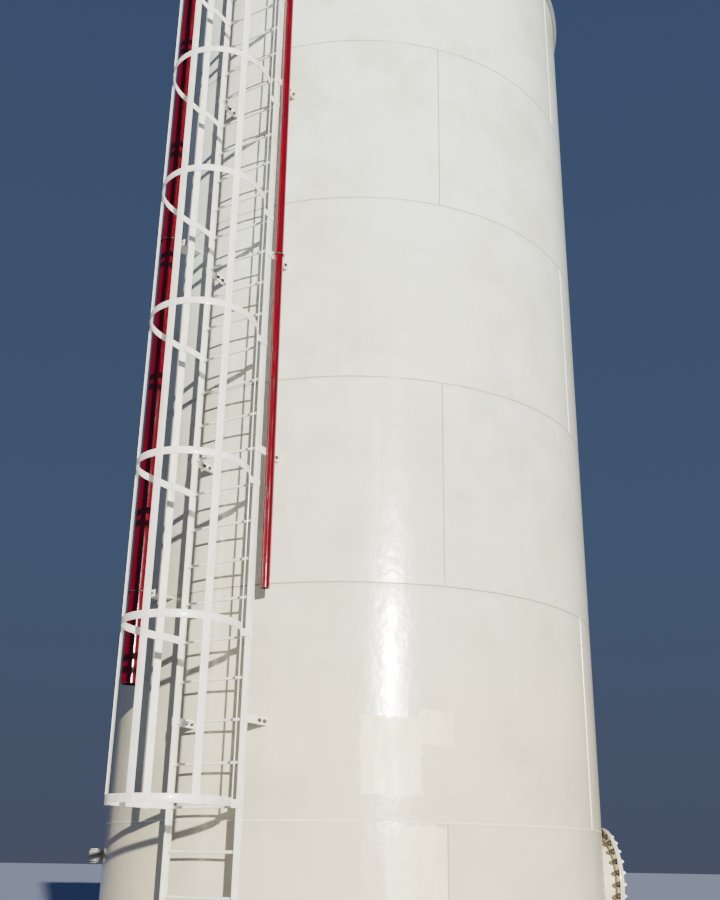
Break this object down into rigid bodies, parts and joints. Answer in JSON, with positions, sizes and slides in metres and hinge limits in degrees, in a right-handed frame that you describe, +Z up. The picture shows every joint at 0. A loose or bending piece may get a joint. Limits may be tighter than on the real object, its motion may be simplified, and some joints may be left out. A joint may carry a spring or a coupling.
{
  "type": "vertical storage tank",
  "caption": "Upright cylindrical steel storage tank with a shallow cone roof, a caged wall ladder, two red standpipes, a bolted side manway and a capped nozzle.",
  "frame": {"origin": "centre of the round base, on the ground", "axes": "+Z up the tank's axis; -Y toward the caged ladder; +X to the right of someone who faces the ladder"},
  "size_m": [4.6728, 5.8014, 12.0398],
  "materials": {
    "shell_paint": "cream-white gloss paint, rolled, with faint streaks",
    "ladder_paint": "white paint over steel flats, with faint grey stains",
    "pipe_paint": "glossy signal-red paint",
    "cap_paint": "light grey paint"
  },
  "bodies": {
    "root": {"bottom_plate": "shell_paint", "shell_course_1a": "shell_paint", "shell_course_1b": "shell_paint", "shell_course_2a": "shell_paint", "shell_course_2b": "shell_paint", "shell_course_3a": "shell_paint", "shell_course_3b": "shell_paint", "shell_course_4a": "shell_paint", "shell_course_4b": "shell_paint", "shell_course_5a": "shell_paint", "shell_course_5b": "shell_paint", "shell_course_6a": "shell_paint", "shell_course_6b": "shell_paint", "roof": "shell_paint", "roof_vent": "shell_paint", "roof_hatch_neck": "shell_paint", "roof_hatch_lid": "shell_paint", "ladder_section_1": "ladder_paint", "ladder_section_2": "ladder_paint", "ladder_section_3": "ladder_paint", "ladder_arm_1_left": "ladder_paint", "ladder_arm_1_right": "ladder_paint", "ladder_arm_2_left": "ladder_paint", "ladder_arm_2_right": "ladder_paint", "ladder_arm_3_left": "ladder_paint", "ladder_arm_3_right": "ladder_paint", "ladder_arm_4_left": "ladder_paint", "ladder_arm_4_right": "ladder_paint", "ladder_arm_5_left": "ladder_paint", "ladder_arm_5_right": "ladder_paint", "ladder_arm_6_left": "ladder_paint", "ladder_arm_6_right": "ladder_paint", "cage_hoop_1": "ladder_paint", "cage_hoop_2": "ladder_paint", "cage_hoop_3": "ladder_paint", "cage_hoop_4": "ladder_paint", "cage_hoop_5": "ladder_paint", "cage_hoop_6": "ladder_paint", "cage_hoop_7": "ladder_paint", "cage_hoop_8": "ladder_paint", "cage_hoop_9": "ladder_paint", "cage_strap_1": "ladder_paint", "cage_strap_2": "ladder_paint", "cage_strap_3": "ladder_paint", "cage_strap_4": "ladder_paint", "cage_strap_5": "ladder_paint", "left_standpipe_lower": "pipe_paint", "left_standpipe_upper": "pipe_paint", "left_standpipe_elbow": "pipe_paint", "right_standpipe": "pipe_paint", "left_pipe_clamp_1": "ladder_paint", "left_pipe_clamp_2": "ladder_paint", "manway_neck": "shell_paint", "manway_cover": "shell_paint", "side_nozzle": "cap_paint"}
  },
  "joints": []
}
